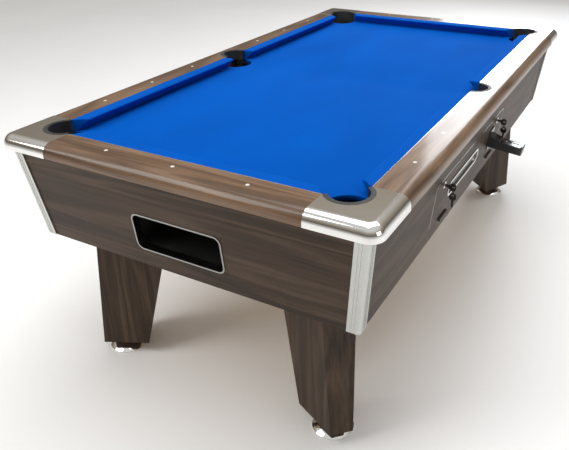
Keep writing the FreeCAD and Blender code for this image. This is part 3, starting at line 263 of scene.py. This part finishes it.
def honed_slate():
    """Dark slate with thin layers."""
    finish = Finish("honed_slate")
    layers = finish.noise(finish.place((6.0, 6.0, 160.0)), 1.0, 5.0, 0.6, 0.4)
    finish.colour(finish.ramp(layers, (0.3, (0.045, 0.048, 0.052)), (0.7, (0.11, 0.115, 0.12))))
    finish.rough(finish.spread(layers, 0.3, 0.7, 0.5, 0.7))
    finish.bump(layers, 0.0008, 0.5)
    return finish.material


def dark_pane():
    """Smoked clear plastic with faint wiping marks."""
    finish = Finish("dark_pane", IOR=1.49, Alpha=0.55, Specular_IOR_Level=0.6)
    wipe = finish.noise(finish.place((40.0, 6.0, 90.0)), 1.0, 3.0, 0.5)
    share = finish.spread(wipe, 0.3, 0.7)
    finish.colour(finish.mix(share, (0.006, 0.008, 0.010), (0.014, 0.018, 0.022)))
    finish.rough(finish.spread(wipe, 0.3, 0.7, 0.05, 0.12))
    return finish.material


WALNUT_TONES = ((0.060, 0.030, 0.016), (0.155, 0.089, 0.050), (0.260, 0.162, 0.098))
DARK_TONES = ((0.016, 0.009, 0.005), (0.054, 0.032, 0.019), (0.100, 0.064, 0.041))


def dress(material, *nodes):
    """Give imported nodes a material."""
    for name in nodes:
        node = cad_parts[name]
        for count in range(max(1, len(node.material_slots))):
            if count < len(node.material_slots):
                node.material_slots[count].material = material
            else:
                node.data.materials.append(material)


def each_corner(stem):
    """The four node names that start with stem."""
    return [stem + quadrant for quadrant in QUADRANTS]


def dress_packed_nodes():
    """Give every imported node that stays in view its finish."""
    short_rail = walnut("walnut_rail_short", "X", WALNUT_TONES, 0.3, coat=0.5)
    long_rail = walnut("walnut_rail_long", "Y", WALNUT_TONES, 0.3, (0.37, 0.2, 0.1), 0.5)
    dress(short_rail, "rail_near", "rail_far")
    dress(long_rail, "rail_left", "rail_right")
    end_board = walnut("walnut_end", "X", DARK_TONES, 0.42, (0.2, 0.5, 0.7))
    side_board = walnut("walnut_side", "Y", DARK_TONES, 0.42, (0.6, 0.1, 0.3))
    dress(end_board, "cabinet_end_near", "cabinet_end_far")
    dress(side_board, "cabinet_side_left", "cabinet_side_right", "door_panel")
    dress(walnut("walnut_leg", "Z", DARK_TONES, 0.45, (0.9, 0.4, 0.2)), *each_corner("leg_"))
    dress(bare_wood("bare_wood", "Y"), "base_board", "slate_bearers", "corner_blocks")
    dress(honed_slate(), "slate_bed")
    chrome = polished_metal("chrome", (0.86, 0.85, 0.83), 0.07)
    dress(polished_metal("rim_metal", (0.34, 0.34, 0.33), 0.2), "window_rim")
    dress(chrome, "side_pocket_trims", "slot_bezel", "lock_barrels", *each_corner("casting_"),
          *each_corner("foot_"))
    dress(polished_metal("slide_steel", (0.42, 0.45, 0.48), 0.16), "coin_slide")
    dress(brushed_metal("corner_aluminium", (0.60, 0.61, 0.58), "Z"), "corner_trims")
    dress(brushed_metal("bright_strip", (0.85, 0.85, 0.84), "Y", 0.25), "rail_edge_strips")
    dress(brushed_metal("zinc_steel", (0.55, 0.55, 0.54), "Y", 0.36), "rail_bolts", "leg_bolts",
          "gutter_straps", "ball_gate", "lock_core_left", "lock_core_right")
    dress(moulded("sight_pearl", (0.72, 0.71, 0.68), (0.88, 0.87, 0.84), 0.18, 300.0, Coat_Weight=0.6),
          "rail_sights")
    dress(moulded("liner_rubber", (0.018, 0.019, 0.019), (0.034, 0.035, 0.035), 0.48, 700.0),
          "corner_liners", "side_liners")
    black_paint = moulded("black_paint", (0.006, 0.006, 0.007), (0.012, 0.012, 0.013), 0.30, 500.0,
                          Coat_Weight=0.3)
    dress(black_paint, "coin_housing", "cash_box")
    dress(moulded("brown_paint", (0.040, 0.031, 0.025), (0.060, 0.047, 0.038), 0.45, 500.0),
          "hinge_leaves_fixed", "hinge_leaves_moving")
    dress(moulded("key_plastic", (0.005, 0.005, 0.006), (0.010, 0.010, 0.011), 0.32, 800.0),
          "key_left", "key_right", "spare_key_left", "spare_key_right")
    dress(moulded("run_plastic", (0.008, 0.008, 0.008), (0.018, 0.018, 0.018), 0.55, 600.0),
          "ball_gutters", "ball_chute", "return_tray")
    dress(dark_pane(), "slot_pane")


# --- mesh helpers --------------------------------------------------------------------------------
def make_piece(name, mesh, material, smooth=True):
    """Finish a bmesh as an object with one material."""
    bmesh.ops.recalc_face_normals(mesh, faces=mesh.faces)
    data = bpy.data.meshes.new(name)
    mesh.to_mesh(data)
    mesh.free()
    data.materials.append(material)
    for face in data.polygons:
        face.use_smooth = smooth
    piece = bpy.data.objects.new(name, data)
    bpy.context.scene.collection.objects.link(piece)
    return piece


def bridge(mesh, rings, closed=True):
    """Faces between rings with the same number of points."""
    count = len(rings[0])
    last = count if closed else count - 1
    for lower, upper in zip(rings, rings[1:]):
        for place in range(last):
            after = (place + 1) % count
            mesh.faces.new((lower[place], lower[after], upper[after], upper[place]))


# --- cloth ---------------------------------------------------------------------------------------
def arc_points(centre, radius, start, end, steps):
    """Points on an arc between two angles in radians."""
    angles = [start + (end - start) * step / steps for step in range(steps + 1)]
    return [Vector((centre.x + radius * math.cos(a), centre.y + radius * math.sin(a))) for a in angles]


def mirrored(run, sign_x, sign_y):
    """A run of the outline in another quadrant, still counter-clockwise round the bed."""
    points = [Vector((sign_x * point.x, sign_y * point.y)) for point in run]
    return points if sign_x * sign_y > 0 else points[::-1]


def pocket_runs():
    """The bed's edge at each pocket, in order round the bed, each with the pocket's centre."""
    edge = 0.0004
    steps = 32
    start = -math.acos((LINE_X - edge - CORNER_POCKET.x) / CORNER_CUT)
    corner = arc_points(CORNER_POCKET, CORNER_CUT, start, -1.5 * math.pi - start, steps)
    start = -math.acos((LINE_X - edge - SIDE_POCKET.x) / SIDE_CUT)
    side = arc_points(SIDE_POCKET, SIDE_CUT, start, -2 * math.pi - start, steps)
    order = [(side, SIDE_POCKET, 1, 1), (corner, CORNER_POCKET, 1, 1), (corner, CORNER_POCKET, -1, 1),
             (side, SIDE_POCKET, -1, 1), (corner, CORNER_POCKET, -1, -1), (corner, CORNER_POCKET, 1, -1)]
    runs = []
    for run, centre, sign_x, sign_y in order:
        points = mirrored(run, sign_x, sign_y)
        runs.append((points, Vector((sign_x * centre.x, sign_y * centre.y))))
    return runs


def pocket_lips(mesh, lip_depth):
    """The bed's edge and, at each pocket, rings of points that turn down; also the rim in order."""
    lip_radius = 0.001
    bends = (30, 60, 90)
    drops = [(lip_radius * math.sin(math.radians(a)), lip_radius * (1 - math.cos(math.radians(a))))
             for a in bends] + [(lip_radius, lip_depth)]
    rim = []
    lips = []
    for points, centre in pocket_runs():
        ring = [mesh.verts.new((point.x, point.y, CLOTH_TOP)) for point in points]
        rim += ring
        rings = [ring]
        for inwards, down in drops:
            lower = []
            for point in points:
                moved = point + (centre - point).normalized() * inwards
                lower.append(mesh.verts.new((moved.x, moved.y, CLOTH_TOP - down)))
            rings.append(lower)
        lips.append(rings)
    return rim, lips


def bed_cloth(material):
    """Cloth stretched over the slate and turned down into each pocket."""
    thickness = 0.001
    lip_depth = 0.018
    mesh = bmesh.new()
    rim, lips = pocket_lips(mesh, lip_depth)
    top = mesh.faces.new(rim)
    top_area = top.calc_area()
    for rings in lips:
        bridge(mesh, rings, closed=False)
    bmesh.ops.triangulate(mesh, faces=[top])
    mesh.normal_update()
    cloth = make_piece("cloth_bed", mesh, material)
    cloth.data.set_sharp_from_angle(angle=math.radians(50))
    skin = cloth.modifiers.new("thickness", "SOLIDIFY")
    skin.thickness = thickness
    skin.offset = -1.0
    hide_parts("bed_cloth")
    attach(cloth, "table")


# --- cushions ------------------------------------------------------------------------------------
def cushion_profile():
    """Section of a covered cushion as (out from the rail, height): back, top, nose and face."""
    floor = CLOTH_TOP + 0.0004
    nose = Vector((NOSE_DEPTH - 0.0036, CLOTH_TOP + 0.0352))
    nose_radius = 0.0036
    points = [(0.0003, floor), (0.0003, RAIL_TOP - 0.0029), (STRIP_WIDTH + 0.0002, RAIL_TOP - 0.0029),
              (STRIP_WIDTH + 0.0002, RAIL_TOP - 0.0013), (STRIP_WIDTH + 0.0007, RAIL_TOP - 0.0006)]
    for out in (0.005, 0.010, 0.016, 0.022, 0.028, 0.034):
        crown = 0.0003 * math.sin(math.pi * out / NOSE_DEPTH) - 0.0008 * (out / NOSE_DEPTH) ** 3
        points.append((out, RAIL_TOP - 0.0004 + crown))
    for angle in range(70, -41, -15):
        turn = math.radians(angle)
        points.append((nose.x + nose_radius * math.cos(turn), nose.y + nose_radius * math.sin(turn)))
    face_start = Vector(points[-1])
    face_end = Vector((0.0125, floor))
    for step in range(1, 8):
        share = step / 8
        hollow = 0.0016 * math.sin(math.pi * share)
        point = face_start.lerp(face_end, share)
        points.append((point.x - hollow, point.y + hollow * 0.4))
    points.append((face_end.x, face_end.y))
    return [Vector(point) for point in points]


def cushion_stations(length, rounding):
    """Distances from one end, closer together at the ends, each with how far the section draws in."""
    ends = []
    for angle in (0, 15, 30, 45, 60, 75, 90):
        turn = math.radians(angle)
        ends.append((rounding * (1 - math.cos(turn)), rounding * (1 - math.sin(turn))))
    ends += [(rounding + step, 0.0) for step in (0.003, 0.006, 0.010, 0.015, 0.022, 0.030)]
    middle_count = int(length / 0.03)
    reach = ends[-1][0]
    middle = [(reach + (length - 2 * reach) * k / middle_count, 0.0) for k in range(1, middle_count)]
    far = [(length - distance, inset) for distance, inset in reversed(ends)]
    return ends + middle + far


def cushion(name, node, material, place, start, end):
    """Loft one cushion; start and end give its ends' places along the rail at a distance out."""
    profile = cushion_profile()
    centre = Vector((0.018, CLOTH_TOP + 0.024))
    rounding = 0.0028
    length = end(0.0) - start(0.0)
    mesh = bmesh.new()
    rings = []
    for distance, inset in cushion_stations(length, rounding):
        share = distance / length
        from_end = min(distance, length - distance)
        ring = []
        for count, point in enumerate(profile):
            arm = point - centre
            drawn = centre + arm * (1 - inset / max(arm.length, 0.006))
            along = start(drawn.x) + (end(drawn.x) - start(drawn.x)) * share
            ripple_place = Vector((along * 9.0, point.x * 30.0, point.y * 30.0 + len(name)))
            ripple = noise.noise(ripple_place) * 0.0003
            fold = fold_height(count, len(profile), from_end)
            drawn = drawn + (drawn - centre).normalized() * (ripple + fold) * min(1.0, point.x / 0.008)
            ring.append(mesh.verts.new(place(along, drawn.x, drawn.y)))
        rings.append(ring)
    bridge(mesh, rings)
    mesh.faces.new(rings[0])
    mesh.faces.new(rings[-1])
    piece = make_piece(name, mesh, material)
    piece.data.set_sharp_from_angle(angle=math.radians(50))
    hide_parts(node)
    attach(piece, "table")


def fold_height(count, points, from_end):
    """Small pleats under the nose where the cloth is gathered round a facing."""
    pleat_reach = 0.022
    if from_end > pleat_reach:
        return 0.0
    fade = 1 - from_end / pleat_reach
    return 0.0004 * fade * math.sin(count / points * 14 * math.pi)


def add_cushions(material):
    """Two cushions on the short rails and four on the long ones."""
    mouth = CORNER_MOUTH / math.sqrt(2)
    corner_slope_x = (PLAY_X - mouth - CASTING_X) / NOSE_DEPTH
    corner_slope_y = (PLAY_Y - mouth - CASTING_Y) / NOSE_DEPTH
    side_start = SIDE_CUT + 0.0005
    side_slope = (SIDE_MOUTH / 2 - side_start) / NOSE_DEPTH
    for word, sign in (("near", -1), ("far", 1)):
        def short_place(along, out, height, sign=sign):
            return (along, sign * (LINE_Y - out), height)
        cushion("cushion_cover_" + word, "cushion_" + word, material, short_place,
                lambda out: -CASTING_X - corner_slope_x * out,
                lambda out: CASTING_X + corner_slope_x * out)
    for quadrant, (sign_x, sign_y) in QUADRANTS.items():
        def long_place(along, out, height, sign_x=sign_x, sign_y=sign_y):
            return (sign_x * (LINE_X - out), sign_y * along, height)
        cushion("cushion_cover_" + quadrant, "cushion_" + quadrant, material, long_place,
                lambda out: side_start + side_slope * out,
                lambda out: CASTING_Y + corner_slope_y * out)


# --- door edge -----------------------------------------------------------------------------------
def door_face():
    """Foot of the door's face at its near end, the ways out and up from there, and the face's size."""
    low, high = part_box("door_panel")
    slope = math.atan(DOOR_LEAN)
    out = Vector((math.cos(slope), 0.0, -math.sin(slope)))
    up = Vector((math.sin(slope), 0.0, math.cos(slope)))
    height = (high.z - low.z - DOOR_THICKNESS * math.sin(slope)) / math.cos(slope)
    foot = Vector((high.x, low.y, high.z)) - up * height
    return foot, out, up, high.y - low.y, height


def edge_run(length, height, inset, radius):
    """Line up one end of the door, over its rounded top corners and down the other end."""
    start_rise = 0.002
    steps = 8
    points = [(length - inset, start_rise)]
    for middle, start in ((length - inset - radius, 0), (inset + radius, 90)):
        for step in range(steps + 1):
            turn = math.radians(start + 90 * step / steps)
            rise = height - inset - radius + radius * math.sin(turn)
            points.append((middle + radius * math.cos(turn), rise))
    points.append((inset, start_rise))
    return points


def add_door_edge(material):
    """Thin bright edging let into the door's face round its ends and top."""
    outer_inset = 0.0015
    width = 0.0025
    sunk = -0.0003
    proud = 0.0005
    corner = 0.022
    foot, out, up, length, height = door_face()
    outer = edge_run(length, height, outer_inset, corner)
    inner = edge_run(length, height, outer_inset + width, corner - width)
    mesh = bmesh.new()
    rings = []
    for run, level in ((outer, sunk), (outer, proud), (inner, proud), (inner, sunk)):
        start = foot + out * level
        rings.append([mesh.verts.new(start + Vector((0, along, 0)) + up * rise) for along, rise in run])
    bridge(mesh, rings + rings[:1], closed=False)
    mesh.faces.new([ring[0] for ring in rings])
    mesh.faces.new([ring[-1] for ring in rings])
    piece = make_piece("door_edge_trim", mesh, material, smooth=False)
    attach(piece, "door")


# --- studio --------------------------------------------------------------------------------------
def add_floor():
    """Pale studio floor, not part of the table."""
    finish = Finish("studio_floor")
    patch = finish.noise(finish.place(), 1.5, 3.0)
    finish.colour(finish.mix(finish.spread(patch, 0.3, 0.7), (0.955, 0.955, 0.955), (0.97, 0.97, 0.97)))
    finish.rough(finish.spread(patch, 0.3, 0.7, 0.6, 0.7))
    half = 12.0
    mesh = bmesh.new()
    corners = ((-half, -half), (half, -half), (half, half), (-half, half))
    mesh.faces.new([mesh.verts.new((x, y, 0.0)) for x, y in corners])
    floor = make_piece("studio_floor", mesh, finish.material)


def add_light(name, place, target, width, height, power, colour=(1, 1, 1)):
    """Soft rectangular light that faces a target and isn't seen itself."""
    data = bpy.data.lights.new(name, "AREA")
    data.shape = "RECTANGLE"
    data.size = width
    data.size_y = height
    data.energy = power
    data.color = colour
    light = bpy.data.objects.new(name, data)
    light.location = place
    light.rotation_euler = (Vector(target) - Vector(place)).to_track_quat("-Z", "Y").to_euler()
    light.visible_camera = False
    bpy.context.scene.collection.objects.link(light)


def add_studio():
    """Floor, four soft lights and the surroundings."""
    add_floor()
    add_light("key", (-2.6, -3.4, 3.6), (0, 0, 0.6), 2.4, 2.4, 90, (1.0, 0.985, 0.96))
    add_light("overhead", (0.2, 0.4, 4.2), (0, 0, 0.8), 3.0, 4.5, 105)
    add_light("window", (-0.5, 5.6, 2.9), (0.3, 0, 0.8), 1.8, 2.4, 82, (0.93, 0.96, 1.0))
    add_light("side_fill", (4.2, -1.2, 1.8), (0, 0, 0.6), 2.0, 1.6, 22, (0.95, 0.97, 1.0))
    add_world()
    bpy.context.scene.view_settings.view_transform = "Standard"


def add_world():
    """Surroundings that are dark near the horizon and bright above."""
    world = bpy.data.worlds.new("studio")
    bpy.context.scene.world = world
    world.use_nodes = True
    tree = world.node_tree
    place = tree.nodes.new("ShaderNodeTexCoord")
    split = tree.nodes.new("ShaderNodeSeparateXYZ")
    ramp = tree.nodes.new("ShaderNodeValToRGB")
    tree.links.new(place.outputs["Generated"], split.inputs["Vector"])
    tree.links.new(split.outputs["Z"], ramp.inputs["Fac"])
    tree.links.new(ramp.outputs["Color"], tree.nodes["Background"].inputs["Color"])
    stops = ((0.0, (0.62, 0.60, 0.58)), (0.12, (0.16, 0.14, 0.12)), (0.45, (0.50, 0.44, 0.36)),
             (0.75, (0.95, 0.95, 0.95)))
    points = ramp.color_ramp.elements
    for count, (position, colour) in enumerate(stops):
        point = points[count] if count < 2 else points.new(position)
        point.position = position
        point.color = (*colour, 1.0)
    tree.nodes["Background"].inputs["Strength"].default_value = 0.7


def main():
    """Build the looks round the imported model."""
    add_camera()
    dress_packed_nodes()
    cloth = billiard_cloth()
    bed_cloth(cloth)
    add_cushions(cloth)
    add_door_edge(brushed_metal("door_edging", (0.80, 0.79, 0.76), "Y", 0.25))
    add_studio()


main()
